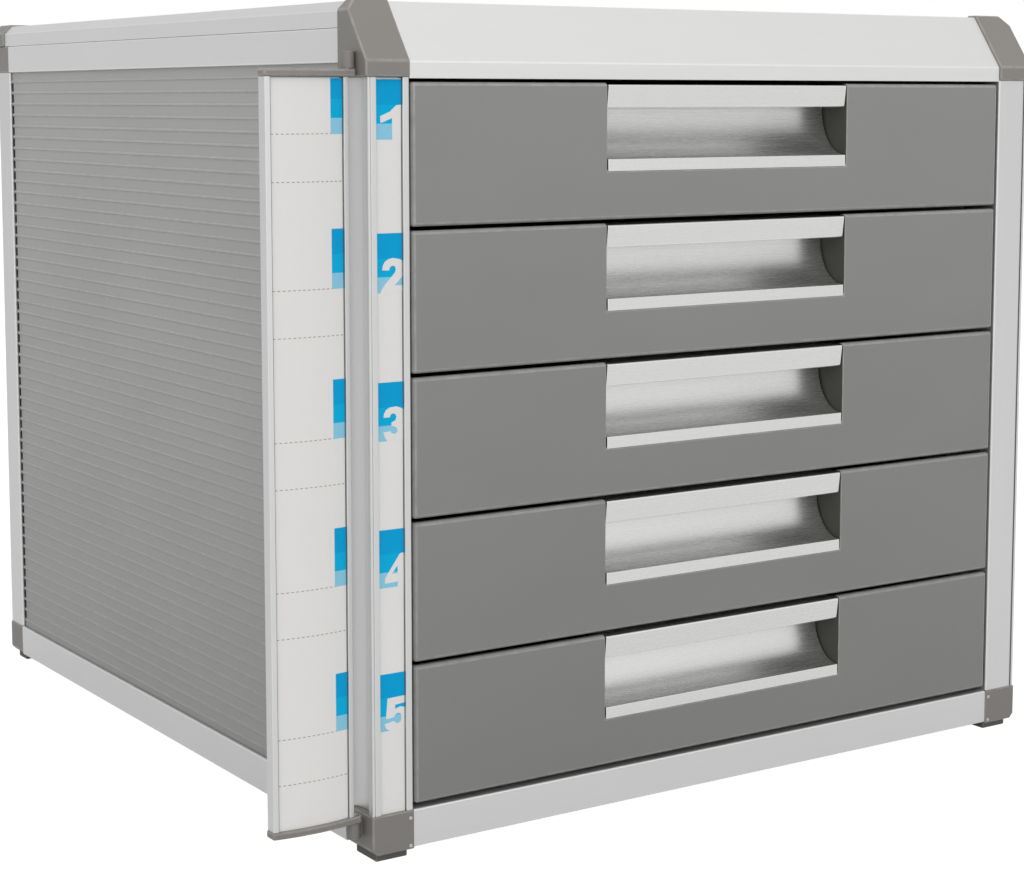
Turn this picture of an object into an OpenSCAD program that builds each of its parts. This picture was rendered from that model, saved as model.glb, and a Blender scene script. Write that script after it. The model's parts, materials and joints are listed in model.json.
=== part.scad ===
// Desktop file cabinet: five A4 drawers in a frame of aluminium sections and moulded
// corner fittings, with a numbered strip in the left post and an index panel hinged on it.
// Millimetres, +Z up. The desk is z = 0, and the drawers open towards -Y.
// The modules are written in the cabinet's own coordinates: x = 0 is its middle and y = 0
// the plane of its drawer fronts. in_place() then moves them so that the origin is the
// middle of the whole footprint, with the index panel swung open.

/* [Frame] */
// Width over the posts
frame_w = 300; // [280:1:340]
// Depth over the posts
frame_d = 333; // [325:1:400]
// Width of a post, seen from the front
post_w = 15.8; // [15.4:0.1:18]
// Depth of a front post
front_post_d = 18.6; // [17.5:0.1:22]
// Depth of a rear post
rear_post_d = 14; // [13:0.1:18]
// Wall of the aluminium sections
wall = 1.4; // [1:0.1:1.6]
// How far the posts and the crown stand back from the corner fittings
post_inset = 0.3; // [0.1:0.1:0.5]

/* [Base] */
// Height of a foot pad below its corner fitting
foot_h = 3; // [2:0.5:8]
// How far a foot pad stands in from the edges of its corner fitting
foot_inset = 2.4; // [2:0.1:3]
// Height of a bottom corner fitting
corner_h = 13.4; // [13.4:0.1:18]
// How much narrower the bottom and top rails are than the posts
rail_step = 2.2; // [1.4:0.1:2.4]

/* [Drawers] */
// Height from one drawer front to the next
drawer_pitch = 48.5; // [46:0.1:60]
// Gap between two drawer fronts
front_gap = 1.4; // [0.8:0.1:2]
// Gap between a drawer front and a post
side_gap = 0.9; // [0.6:0.1:1.1]
// Gap between the lowest front and the front rail
sill_gap = 1.7; // [1:0.1:3]
// Gap between the highest front and the crown
head_gap = 1.1; // [1:0.1:3]
// Thickness of a drawer front
front_t = 3; // [2.4:0.1:4]
// Height of a drawer tray
tray_h = 40; // [30:0.5:40]
// Wall of a drawer tray
tray_wall = 2; // [1.4:0.1:3]

/* [Handle] */
// Width of the grip, from end to end
grip_w = 109.9; // [80:0.1:140]
// Depth of the cove that the fingers go into
cove_d = 13.3; // [11:0.1:14.2]
// Height of the cove's curve, from the sill up to its upright back
cove_h = 16.7; // [13:0.1:17.5]
// Height of the grip's upper lip
lip_h = 8.1; // [6:0.1:9]
// Height of the grip's sill, below the cove
sill_h = 4.2; // [3:0.1:5]
// How far the lip's lower edge leans back from its upper edge
lip_lean = 0.9; // [0.3:0.1:1.5]
// Wall of the grip's section
grip_wall = 1.4; // [1:0.1:1.8]

/* [Runners] */
// Thickness of a runner's side plate
runner_t = 2; // [1.6:0.1:2.2]
// How far a ledge reaches under a drawer
ledge_w = 9; // [7:0.5:14]
// Thickness of a ledge
ledge_t = 2.2; // [1.6:0.1:2.6]

/* [Sheets] */
// Thickness of the side, back and base sheets
sheet_t = 2; // [1.6:0.1:2.2]
// Height from one rib of a sheet to the next
rib_pitch = 4.84; // [4.4:0.01:8]
// Width of a rib at its root
rib_w = 1.1; // [0.8:0.1:1.6]
// How far a rib stands out of its sheet
rib_h = 0.45; // [0.3:0.05:0.5]
// Thickness of the roof sheet
roof_t = 2; // [1.6:0.1:2.2]

/* [Top] */
// Height of the crown's upright band
crown_band_h = 5.5; // [4:0.1:7]
// Slope of the crown, in degrees above the level
crown_slope = 54.7; // [50:0.1:60]
// Height of the top side rails
band_h = 11.5; // [10:0.1:14]
// Height of the roof edge's upright side
eave_h = 5.4; // [4.5:0.1:7]
// Rise and run of the roof edge's chamfer
eave_chamfer = 3.3; // [2.5:0.1:4]
// How far the moulded caps stand out of the sections between them
cap_proud = 0.8; // [0.5:0.1:1.2]
// How far the roof reaches past the rear posts
roof_overhang = 5.4; // [3:0.1:8]

/* [Number strip] */
// Width of the outer bead beside the strip
bead_w = 3.1; // [2.8:0.1:3.4]
// Visible width of the strip
strip_w = 9.9; // [8:0.1:9.9]
// Thickness of the strip and of the index card
card_t = 0.5; // [0.3:0.05:0.6]
// Depth of the finger cove in the side of the post
cove_depth = 2.6; // [1:0.1:2.8]

/* [Index panel] */
// Width of the index panel
panel_w = 29.9; // [22:0.1:45]
// Depth of the index panel at its long edges
panel_t = 4.4; // [3.8:0.1:5]
// How far the panel's face bows out in its middle
panel_bow = 1.5; // [0.5:0.1:2.5]
// Width of the lips that hold the index card
panel_lip = 1.8; // [1.7:0.1:4]
// Thickness of a hinge arm
arm_t = 2.5; // [2:0.1:3]
// Radius of the bosses that the panel hangs on
boss_r = 2.3; // [2.1:0.1:2.6]
// Height of such a boss
boss_h = 5.5; // [4:0.1:6]
// Radius of a hinge pin
pin_r = 1.2; // [0.8:0.05:1.3]
// Distance of the hinge pins behind the plane of the drawer fronts
hinge_back = 7.2; // [6.5:0.1:9]

/* [Hidden] */
$fn = 48;

aluminium = "#c9cbca";
bright_aluminium = "#e2e2e0";
front_grey = "#84847f";
fitting_grey = "#8a8781";
sheet_grey = "#9a9a98";
tray_grey = "#b9bab8";
foot_black = "#3a3a39";
card_white = "#e4e4e2";
steel = "#a9abad";

// Fits
drawers = 5;
seat_play = 0.15;       // a sheet in its groove, a card in its slot, a spigot in its hollow
slide_play = 0.3;       // a drawer over its ledges
pin_play = 0.05;        // a hinge pin in its boss
arm_play = 0.2;         // a hinge arm beside its boss and its fitting
grip_play = 0.5;        // a grip between its cheeks
groove_depth = 2.5;
groove_bite = 2.2;      // how far a sheet reaches into its groove
spigot_l = 10;
edge = 0.4;             // broken edges of the sections
past = 1;               // how far a cutter runs past what it cuts

// Heights, from the desk up
post_rise = 0.5;
band_rise = 5.1;
rail_lift = 0.4;
half_w = frame_w / 2;
rail_w = post_w - rail_step;
opening_half = half_w - post_w;
z_rail = foot_h + corner_h;
z_first = z_rail + sill_gap;
front_h = drawer_pitch - front_gap;
z_crown = z_first + drawers * drawer_pitch - front_gap + head_gap;
z_post = z_crown + post_rise;
z_band = z_crown + band_rise;
z_roof = z_band + band_h;
z_eave = z_roof + eave_h;
z_top = z_eave + eave_chamfer;
z_crease = z_crown + crown_band_h;
z_rail_low = foot_h + rail_lift;

// The side and back sheets' plane, counted inward from the frame's outer faces
sheet_in = 1.6;
back_in = 5;
groove_wall = 1.1;      // from a groove to the hollow beside it
side_core = sheet_in + sheet_t + groove_wall;
rear_core = back_in + sheet_t + groove_wall;
corner_w = post_w + 0.2;

// The drawers
front_half = opening_half - side_gap;
runner_half = half_w - rail_w - runner_t;
tray_play = 1.2;
tray_half = min(opening_half, runner_half) - tray_play;
tray_lift = 3.6;
tray_y0 = post_inset + front_t;
tray_rear_gap = 5;
tray_y1 = frame_d - back_in - sheet_t - tray_rear_gap;
cheek_t = 2.2;
front_chamfer = 0.8;

// The grip's section, with z counted from the bottom of its drawer front
grip_sunk = 0.55;
cove_drop = 0.9;        // from the lip's lower edge down to the cove's widest point
grip_top = front_h - grip_sunk;
lip_low = grip_top - lip_h;
cove_z = lip_low - cove_drop;
grip_low = cove_z - cove_h - sill_h;
grip_back = post_inset + cove_d + grip_wall;
lip_t = 1.6;
lip_round = 0.5;
sill_t = 1.8;
arc_steps = 16;

// The hinge and the index panel, counted in x from the left face of the frame
boss_off = 0.3;         // from a boss to the cap's side
panel_off = 1.1;        // from the hinge line to the panel's edge
panel_in = 0.5;         // from the back of a boss to the panel's back
pivot_x = -cap_proud - boss_r - boss_off;
panel_x1 = pivot_x - panel_off;
panel_x0 = panel_x1 - panel_w;
panel_mid = (panel_x0 + panel_x1) / 2;
panel_back = hinge_back + boss_r - panel_in;
panel_front = panel_back - panel_t;
bow_r = (pow(panel_w / 2, 2) + pow(panel_bow, 2)) / (2 * panel_bow);
bow_y = panel_front - panel_bow + bow_r;
slot_skin = 0.8;
slot_bite = 1;
slot_h = card_t + 2 * seat_play;
arm_over = 0.4;
arm_reach = boss_r - arm_play;
arm_toe = 1;            // the cut corner in front of the heel
card_short = 0.4;       // from the top of a card or strip up to the top of its section
z_card_top = z_post - card_short;

// The footprint's middle
reach_left = half_w - panel_x0 + arm_over;
reach_right = half_w + cap_proud;
reach_front = cap_proud - post_inset;
reach_rear = frame_d + roof_overhang + cap_proud;
shift_x = (reach_left - reach_right) / 2;
shift_y = (reach_front - reach_rear) / 2;

// ---- Helpers ------------------------------------------------------------------------

module in_place() translate([shift_x, shift_y, 0]) children();

// A section drawn in (y, z), run along x
module along_x(x0, x1) translate([x0, 0, 0]) rotate([90, 0, 90]) linear_extrude(x1 - x0) children();

// A section drawn in (x, z), run along y
module along_y(y0, y1) translate([0, y1, 0]) rotate([90, 0, 0]) linear_extrude(y1 - y0) children();

// A section drawn in (x, y), run up z
module upright(z0, z1) translate([0, 0, z0]) linear_extrude(z1 - z0) children();

module block(low, high) translate(low) cube(high - low);

module flip_x(on) {
    if (on) mirror([1, 0, 0]) children();
    else children();
}

module flip_y(on) {
    if (on) translate([0, frame_d, 0]) mirror([0, 1, 0]) children();
    else children();
}

// Children are drawn at the front left corner, counted inward from the frame's outer faces
module at_corner(right = false, rear = false)
    in_place() flip_y(rear) flip_x(right) translate([-half_w, 0, 0]) children();

// A rectangle with broken corners
module broken(low, high, cut = edge)
    polygon([
        [low.x + cut, low.y], [high.x - cut, low.y], [high.x, low.y + cut], [high.x, high.y - cut],
        [high.x - cut, high.y], [low.x + cut, high.y], [low.x, high.y - cut], [low.x, low.y + cut]
    ]);

module rect(low, high) translate(low) square(high - low);

// Points of an arc with its two half-axes, from one angle to the other
function arc(centre, rx, ry, from, to, steps = arc_steps) =
    [for (i = [0 : steps])
        let (a = from + (to - from) * i / steps)
        centre + [rx * cos(a), ry * sin(a)]];

// The front slope, offset outward: its crease, then its point at a height z, in (y, z)
function crease(out) = [post_inset - out, z_crease + out * tan((90 - crown_slope) / 2)];
function slope_at(out, z) = [crease(out).x + (z - crease(out).y) / tan(crown_slope), z];

// The roof edge's chamfer, offset outward: its lower, then its upper edge, in (x, z)
function eave(out) =
    let (z0 = z_eave + out * tan(22.5), z1 = z_top + out) [[-out, z0], [-out + z1 - z0, z1]];

// ---- Posts --------------------------------------------------------------------------

post_core_y = 3.6;

module post_core(depth, play = 0)
    rect([side_core + play, post_core_y + play], [post_w - wall - play, depth - wall - play]);

module post_section(depth, rear)
    difference() {
        broken([post_inset, post_inset], [post_w, depth]);
        if (rear) rect([side_core, rear_core], [post_w - wall, depth - wall]);
        else post_core(depth);
        // the groove for the side sheet
        rect(
            [sheet_in - seat_play, depth - groove_depth],
            [sheet_in + sheet_t + seat_play, depth + past]
        );
        // the groove for the back sheet
        if (rear)
            rect(
                [post_w - groove_depth, back_in - seat_play],
                [post_w + past, back_in + sheet_t + seat_play]
            );
    }

// The strip's slot: its mouth between the two beads, and the wider hollow behind them
strip_x0 = bead_w + post_inset;
strip_x1 = strip_x0 + strip_w;
strip_y = post_inset + slot_skin;

module strip_slot() {
    rect([strip_x0, post_inset - past], [strip_x1, strip_y + slot_h]);
    rect([strip_x0 - slot_bite, strip_y], [strip_x1 + slot_bite, strip_y + slot_h]);
}

// A shallow hollow in the post's outer side, where a finger gets behind the index panel
cove_half = 6.5;
cove_mid = 9.6;
cove_r = (pow(cove_half, 2) + pow(cove_depth, 2)) / (2 * cove_depth);

module finger_cove() translate([post_inset - cove_r + cove_depth, cove_mid]) circle(cove_r);

// A narrow groove in the face of each front post, beside its outer edge
trim_groove_w = 0.5;
trim_groove_left = 0.8;
trim_groove_right = 1.6;

module trim_groove(in) rect([in, 0], [in + trim_groove_w, post_inset + trim_groove_w]);

module post_front_left() color(aluminium) at_corner()
    upright(z_rail, z_post)
        difference() {
            post_section(front_post_d, false);
            trim_groove(trim_groove_left);
            strip_slot();
            finger_cove();
        }

// The right post's face is plain between its edges

module post_front_right() color(aluminium) at_corner(right = true)
    upright(z_rail, z_post)
        difference() {
            post_section(front_post_d, false);
            trim_groove(trim_groove_right);
        }

module rear_post(right) color(aluminium) at_corner(right, rear = true)
    upright(z_rail, z_band) post_section(rear_post_d, true);

module post_rear_left() rear_post(false);
module post_rear_right() rear_post(true);

// ---- Rails --------------------------------------------------------------------------

// A rail's section, from the outside inward and from z0 to z1. The groove for a sheet is
// in its top or its bottom, and the hollow lies inside of it.
module rail_section(z0, z1, core, groove, up)
    difference() {
        broken([0, z0], [rail_w, z1]);
        rail_hollow(z0, z1, core);
        if (groove > 0)
            rect(
                [groove - seat_play, up ? z1 - groove_depth : z0 - past],
                [groove + sheet_t + seat_play, up ? z1 + past : z0 + groove_depth]
            );
    }

module rail_hollow(z0, z1, core, play = 0)
    rect([core + play, z0 + wall + play], [rail_w - wall - play, z1 - wall - play]);

module bottom_rail_front() color(aluminium) in_place() translate([0, post_inset, 0])
    along_x(corner_w - half_w, half_w - corner_w)
        union() {
            rail_section(z_rail_low, z_rail, wall, 0, true);
            base_ledge();
        }

// The front and rear rails carry the base sheet on a ledge
base_ledge_w = 6;

module base_ledge() rect([rail_w - wall, z_rail_low], [rail_w + base_ledge_w, z_rail_low + wall]);

module bottom_rail_rear() color(aluminium) in_place() flip_y(true)
    along_x(corner_w - half_w, half_w - corner_w)
        union() {
            rail_section(z_rail_low, z_rail, rear_core, back_in, true);
            base_ledge();
        }

module side_rail(right, z0, z1, y0, up) color(aluminium) at_corner(right)
    along_y(y0, frame_d - rear_post_d) rail_section(z0, z1, side_core, sheet_in, up);

module bottom_rail_left() side_rail(false, z_rail_low, z_rail, front_post_d, true);
module bottom_rail_right() side_rail(true, z_rail_low, z_rail, front_post_d, true);
module top_rail_left() side_rail(false, z_band, z_roof, front_post_d, false);
module top_rail_right() side_rail(true, z_band, z_roof, front_post_d, false);

module top_rail_rear() color(aluminium) in_place() flip_y(true)
    along_x(corner_w - half_w, half_w - corner_w)
        rail_section(z_band, z_roof, rear_core, back_in, false);

// ---- Corner fittings ----------------------------------------------------------------

// Spigots into the hollows of the sections beside a fitting, rooted in the fitting
module spigot_y(depth, z0, z1)
    along_y(depth - past, depth + spigot_l) rail_hollow(z0, z1, side_core, seat_play);

module spigot_x(z0, z1, core)
    along_x(corner_w - past, corner_w + spigot_l) rail_hollow(z0, z1, core, seat_play);

module front_post_spigot(z0, z1) upright(z0, z1) post_core(front_post_d, seat_play);

module rear_post_spigot(z0, z1)
    upright(z0, z1)
        rect(
            [side_core + seat_play, rear_core + seat_play],
            [post_w - wall - seat_play, rear_post_d - wall - seat_play]
        );

corner_chamfer = 1.8;
foot_recess = 1.2;

// A bottom fitting's block, its outer lower edge cut back, with a pocket for its foot
module bottom_block(depth)
    difference() {
        along_y(0, depth)
            polygon([
                [corner_chamfer, foot_h], [corner_w, foot_h], [corner_w, z_rail], [0, z_rail],
                [0, foot_h + corner_chamfer]
            ]);
        foot_shape(depth, foot_h - past, foot_h + foot_recess, 0);
    }

module foot_shape(depth, z0, z1, play)
    block(
        [foot_inset + play, foot_inset + play, z0],
        [corner_w - foot_inset / 2 - play, depth - foot_inset - play, z1]
    );

// Where the hinge arms, bosses and pins sit, one above the other
z_arm_low = z_rail - arm_t;
z_boss_low = z_arm_low - arm_play - boss_h;
z_boss_top = z_post + arm_t + arm_play;
pin_blind = 1;

// A boss beside a fitting, on a neck behind its middle, open where the pin comes in
module hinge_boss(z0, side_x, mouth_up)
    difference() {
        union() {
            translate([pivot_x, hinge_back, z0]) cylinder(r = boss_r, h = boss_h);
            block([pivot_x, hinge_back, z0], [side_x + past / 2, hinge_back + boss_r, z0 + boss_h]);
        }
        translate([pivot_x, hinge_back, mouth_up ? z0 + pin_blind : z0 - past])
            cylinder(r = pin_r + pin_play, h = boss_h - pin_blind + past);
    }

module front_bottom_fitting(right) color(fitting_grey) at_corner(right) {
    difference() {
        bottom_block(front_post_d);
        rail_pin_pair(pin_play);
    }
    spigot_y(front_post_d, z_rail_low, z_rail);
    translate([0, post_inset, 0]) spigot_x(z_rail_low, z_rail, wall);
    front_post_spigot(z_rail - past, z_rail + spigot_l);
    if (!right) hinge_boss(z_boss_low, 0, true);
}

module rear_bottom_fitting(right) color(fitting_grey) at_corner(right, rear = true) {
    bottom_block(rear_post_d);
    spigot_y(rear_post_d, z_rail_low, z_rail);
    spigot_x(z_rail_low, z_rail, rear_core);
    rear_post_spigot(z_rail - past, z_rail + spigot_l);
}

module bottom_corner_front_left() front_bottom_fitting(false);
module bottom_corner_front_right() front_bottom_fitting(true);
module bottom_corner_rear_left() rear_bottom_fitting(false);
module bottom_corner_rear_right() rear_bottom_fitting(true);

module feet() color(foot_black)
    for (right = [false, true]) {
        at_corner(right) foot_shape(front_post_d, 0, foot_h + foot_recess, seat_play);
        at_corner(right, rear = true) foot_shape(rear_post_d, 0, foot_h + foot_recess, seat_play);
    }

// Small locking pins, two in the face of each front fitting, near its inner edge
rail_pin_r = 0.7;
rail_pin_l = 1.8;
rail_pin_in = 1.5;
rail_pin_z = 1.3;
rail_pin_proud = 0.2;

module rail_pin_pair(play)
    for (z = [foot_h + rail_pin_z, z_rail - 2 * rail_pin_z])
        translate([corner_w - rail_pin_in, -rail_pin_proud, z]) rotate([-90, 0, 0])
            cylinder(r = rail_pin_r + play, h = rail_pin_l + play);

module rail_pins() color(steel) for (right = [false, true]) at_corner(right) rail_pin_pair(0);

// The roof sheet lies on seats behind the crown's lip and inside the roof edges' lips
roof_seat_w = 5;
roof_lip_w = 5.5;
roof_sunk = 0.1;
roof_seat_z = z_top - roof_t - roof_sunk;
roof_lip_x = eave_chamfer + roof_lip_w;
crown_lip_y = slope_at(0, z_top).x + roof_lip_w;
crown_seat_z = roof_seat_z - wall;
crown_flange_w = 6;

// A moulded cap's upper outer edge, cut back to the line of the roof edge
module eave_cut(y0, y1)
    along_y(y0 - past, y1 + past)
        let (line = eave(cap_proud), top = line[1] + [past, past])
        polygon([line[0] - [past, past], top, [line[0].x - past, top.y]]);

crown_skin = 1.8;
crown_spigot_t = 2.4;

module top_corner_front(right) color(fitting_grey) at_corner(right) {
    difference() {
        along_x(-cap_proud, post_w)
            polygon([
                [post_inset - cap_proud, z_post], crease(cap_proud),
                slope_at(cap_proud, z_top + cap_proud), [front_post_d, z_top + cap_proud],
                [front_post_d, z_post]
            ]);
        eave_cut(-cap_proud, front_post_d);
    }
    front_post_spigot(z_post - spigot_l, z_post + past);
    spigot_y(front_post_d, z_band, z_roof);
    along_y(front_post_d - past, front_post_d + spigot_l) roof_hollow(seat_play);
    // the spigot into the crown lies along the inside of its slope
    along_x(post_w - past, post_w + spigot_l)
        let (
            out = -crown_skin - seat_play,
            low = crease(out),
            high = slope_at(out, crown_seat_z - seat_play)
        )
        polygon([low, low + [crown_spigot_t, 0], high + [crown_spigot_t, 0], high]);
    if (!right) hinge_boss(z_boss_top, -cap_proud, false);
}

module top_corner_front_left() top_corner_front(false);
module top_corner_front_right() top_corner_front(true);

module top_corner_rear(right) color(fitting_grey) at_corner(right, rear = true) {
    block([0, 0, z_band], [corner_w, rear_post_d, z_roof]);
    spigot_y(rear_post_d, z_band, z_roof);
    spigot_x(z_band, z_roof, rear_core);
    rear_post_spigot(z_band - spigot_l, z_band + past);
}

module top_corner_rear_left() top_corner_rear(false);
module top_corner_rear_right() top_corner_rear(true);

// ---- Crown, roof edges and roof caps --------------------------------------------------

module crown() color(bright_aluminium) in_place()
    along_x(-opening_half, opening_half)
        let (inner = crease(-crown_skin))
        polygon([
            [post_inset, z_crown], crease(0), slope_at(0, z_top), [crown_lip_y, z_top],
            [crown_lip_y, roof_seat_z], [crown_lip_y + roof_seat_w, roof_seat_z],
            [crown_lip_y + roof_seat_w, crown_seat_z], slope_at(-crown_skin, crown_seat_z), inner,
            [inner.x, z_crown + wall], [inner.x + crown_flange_w, z_crown + wall],
            [inner.x + crown_flange_w, z_crown]
        ]);

// A roof edge's section, from the outside inward: a chamfered box with a seat for the sheet
module roof_edge_section()
    difference() {
        polygon([
            [0, z_roof], eave(0)[0], eave(0)[1], [roof_lip_x, z_top], [roof_lip_x, roof_seat_z],
            [rail_w, roof_seat_z], [rail_w, z_roof]
        ]);
        roof_hollow(0);
    }

module roof_hollow(play)
    let (x0 = wall + play, z0 = z_roof + wall + play, z1 = roof_seat_z - wall - play)
    polygon([
        [x0, z0], [x0, z1 - eave_chamfer / 2], [x0 + eave_chamfer / 2, z1], [rail_w - wall - play, z1],
        [rail_w - wall - play, z0]
    ]);

roof_cap_d = 15.4;
roof_rear_y = frame_d + roof_overhang;
roof_cap_y = roof_rear_y - roof_cap_d;

module roof_edge_side(right) color(aluminium) at_corner(right)
    along_y(front_post_d, roof_cap_y) roof_edge_section();

module roof_edge_left() roof_edge_side(false);
module roof_edge_right() roof_edge_side(true);

// The rear edge is the same section, set so that it overhangs the rear posts
module roof_edge_rear() color(aluminium) in_place() translate([0, roof_rear_y, 0]) mirror([0, 1, 0])
    along_x(corner_w - half_w, half_w - corner_w) roof_edge_section();

module roof_cap(right) color(fitting_grey) in_place() translate([0, roof_rear_y, 0]) mirror([0, 1, 0])
    flip_x(right) translate([-half_w, 0, 0]) {
        difference() {
            along_x(-cap_proud, corner_w)
                let (line = eave(cap_proud))
                polygon([
                    [-cap_proud, z_roof], line[0], line[1], [roof_cap_d, z_top + cap_proud],
                    [roof_cap_d, z_roof]
                ]);
            eave_cut(-cap_proud, roof_cap_d);
        }
        along_y(roof_cap_d - past, roof_cap_d + spigot_l) roof_hollow(seat_play);
        along_x(corner_w - past, corner_w + spigot_l) roof_hollow(seat_play);
    }

module roof_cap_left() roof_cap(false);
module roof_cap_right() roof_cap(true);

// ---- Sheets -------------------------------------------------------------------------

// A sheet's outline between two posts. Tabs reach into the posts' grooves, each up to the top
// of its post, and between the corner fittings the sheet goes from the floor of the lower
// rail's groove up into the upper rail's.
module sheet_outline(a0, a1, top0, top1) {
    inset = corner_w - post_w + seat_play;
    rect([a0 + inset, z_rail - groove_depth], [a1 - inset, z_band + groove_bite]);
    rect([a0 - groove_bite, z_rail], [a0 + groove_bite, top0]);
    rect([a1 - groove_bite, z_rail], [a1 + groove_bite, top1]);
}

module rib_section()
    polygon([[0, -rib_w / 2], [0, rib_w / 2], [-rib_h, rib_w / 5], [-rib_h, -rib_w / 5]]);

// The ribs keep clear of the sections around the sheet
rib_play = 0.1;
rib_start = 2.9;
rib_first = z_rail + rib_start;
rib_count = floor((z_band - rib_first - rib_w / 2 - rib_play) / rib_pitch);

module ribs() for (i = [0 : rib_count]) translate([0, rib_first + i * rib_pitch]) rib_section();

module side_sheet(right) color(sheet_grey) at_corner(right) translate([sheet_in, 0, 0]) {
    rotate([90, 0, 90]) linear_extrude(sheet_t)
        sheet_outline(front_post_d, frame_d - rear_post_d, z_post, z_band);
    along_y(front_post_d + rib_play, frame_d - rear_post_d - rib_play) ribs();
}

module side_sheet_left() side_sheet(false);
module side_sheet_right() side_sheet(true);

module back_sheet() color(sheet_grey) in_place() flip_y(true) translate([0, back_in, 0]) {
    translate([0, sheet_t, 0]) rotate([90, 0, 0]) linear_extrude(sheet_t)
        sheet_outline(-opening_half, opening_half, z_band, z_band);
    along_x(rib_play - opening_half, opening_half - rib_play) ribs();
}

base_play = 0.5;

module base_sheet() color(sheet_grey) in_place()
    block(
        [base_play - opening_half, post_inset + rail_w + seat_play, z_rail_low + wall],
        [opening_half - base_play, frame_d - rail_w - seat_play, z_rail_low + wall + sheet_t]
    );

// The roof sheet lies inside the lips around it, and a tongue of it goes between the rear caps
module roof_sheet() color(sheet_grey) in_place()
    upright(roof_seat_z, roof_seat_z + roof_t)
        for (part = [[roof_lip_x, roof_cap_y], [corner_w, roof_rear_y - roof_lip_x]])
            rect(
                [part[0] - half_w + seat_play, crown_lip_y + seat_play],
                [half_w - part[0] - seat_play, part[1] - seat_play]
            );

// ---- Runners ------------------------------------------------------------------------

runner_play = 0.4;

// The lowest drawer is number 5
function drawer_z(number) = z_first + (drawers - number) * drawer_pitch;

module runner(right) color(tray_grey) at_corner(right)
    along_y(front_post_d + runner_play, frame_d - rear_post_d - runner_play) {
        rect([rail_w, z_rail_low], [rail_w + runner_t, z_roof - wall]);
        for (number = [1 : drawers])
            let (z = drawer_z(number) + tray_lift - slide_play)
            rect([rail_w, z - ledge_t], [rail_w + runner_t + ledge_w, z]);
    }

module runner_left() runner(false);
module runner_right() runner(true);

// ---- Drawers ------------------------------------------------------------------------

// Number 1 is the highest
module at_drawer(number) in_place() translate([0, 0, drawer_z(number)]) children();

// A plate whose face has its four edges cut back, with the grip's notch open at its top
module drawer_front(number) color(front_grey) at_drawer(number) {
    difference() {
        intersection() {
            along_x(-front_half, front_half)
                polygon([
                    [post_inset + front_chamfer, 0], [post_inset + front_t, 0],
                    [post_inset + front_t, front_h], [post_inset + front_chamfer, front_h],
                    [post_inset, front_h - front_chamfer], [post_inset, front_chamfer]
                ]);
            upright(0, front_h)
                polygon([
                    [-front_half + front_chamfer, post_inset], [front_half - front_chamfer, post_inset],
                    [front_half, post_inset + front_chamfer], [front_half, post_inset + front_t],
                    [-front_half, post_inset + front_t], [-front_half, post_inset + front_chamfer]
                ]);
        }
        block(
            [-grip_w / 2, -past, grip_low],
            [grip_w / 2, post_inset + front_t + past, front_h + past]
        );
    }
    // the cheeks close the ends of the grip
    for (side = [0, 1]) mirror([side, 0, 0])
        block(
            [grip_w / 2, post_inset + front_t - edge, grip_low],
            [grip_w / 2 + cheek_t, grip_back, grip_top]
        );
}

module drawer_tray(number) color(tray_grey) at_drawer(number)
    difference() {
        block([-tray_half, tray_y0, tray_lift], [tray_half, tray_y1, tray_lift + tray_h]);
        block(
            [tray_wall - tray_half, tray_y0 + tray_wall, tray_lift + tray_wall],
            [tray_half - tray_wall, tray_y1 - tray_wall, tray_lift + tray_h + past]
        );
        // room in its front wall for the grip and its cheeks
        block(
            [-grip_w / 2 - cheek_t - slide_play, tray_y0 - past, grip_low - slide_play],
            [grip_w / 2 + cheek_t + slide_play, tray_y0 + tray_wall + past, front_h + past]
        );
    }

// The grip's section in (y, z), counted from the face of the drawer front: the sill, the
// cove, the upright back, the roof, then the lip, which leans back to its lower edge
module grip_section()
    translate([post_inset, 0])
        polygon(concat(
            [[sill_t, grip_low], [0, grip_low]],
            arc([0, cove_z], cove_d, cove_h, -90, 0),
            [
                [cove_d, grip_top - grip_wall], [lip_t, grip_top - grip_wall],
                [lip_lean + lip_t, lip_low + lip_round], [lip_lean + lip_t - lip_round, lip_low],
                [lip_lean + lip_round, lip_low], [lip_lean, lip_low + lip_round],
                [0, grip_top - edge], [edge, grip_top],
                [cove_d + grip_wall - edge, grip_top], [cove_d + grip_wall, grip_top - edge]
            ],
            arc(
                [0, cove_z], cove_d + grip_wall, cove_h + grip_wall,
                0, -acos(sill_t / (cove_d + grip_wall))
            )
        ));

module drawer_handle(number) color(bright_aluminium) at_drawer(number)
    along_x(grip_play - grip_w / 2, grip_w / 2 - grip_play) grip_section();

module drawer_1_front() drawer_front(1);
module drawer_2_front() drawer_front(2);
module drawer_3_front() drawer_front(3);
module drawer_4_front() drawer_front(4);
module drawer_5_front() drawer_front(5);
module drawer_1_tray() drawer_tray(1);
module drawer_2_tray() drawer_tray(2);
module drawer_3_tray() drawer_tray(3);
module drawer_4_tray() drawer_tray(4);
module drawer_5_tray() drawer_tray(5);
module drawer_1_handle() drawer_handle(1);
module drawer_2_handle() drawer_handle(2);
module drawer_3_handle() drawer_handle(3);
module drawer_4_handle() drawer_handle(4);
module drawer_5_handle() drawer_handle(5);

// ---- Number strip and index panel -----------------------------------------------------

module number_strip() color(card_white) at_corner()
    upright(z_rail, z_card_top)
        rect(
            [strip_x0 - slot_bite + seat_play, strip_y + seat_play],
            [strip_x1 + slot_bite - seat_play, strip_y + seat_play + card_t]
        );

// A line along the panel's bowed face, a depth behind it, between two x values
function bow_line(x0, x1, depth, steps = 12) =
    [for (i = [0 : steps])
        let (x = x0 + (x1 - x0) * i / steps)
        [x, bow_y - sqrt(pow(bow_r - depth, 2) - pow(x - panel_mid, 2))]];

function reversed(list) = [for (i = [len(list) - 1 : -1 : 0]) list[i]];

// The space between two such lines
module bow_band(x0, x1, depth0, depth1)
    polygon(concat(bow_line(x0, x1, depth0), reversed(bow_line(x0, x1, depth1))));

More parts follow.
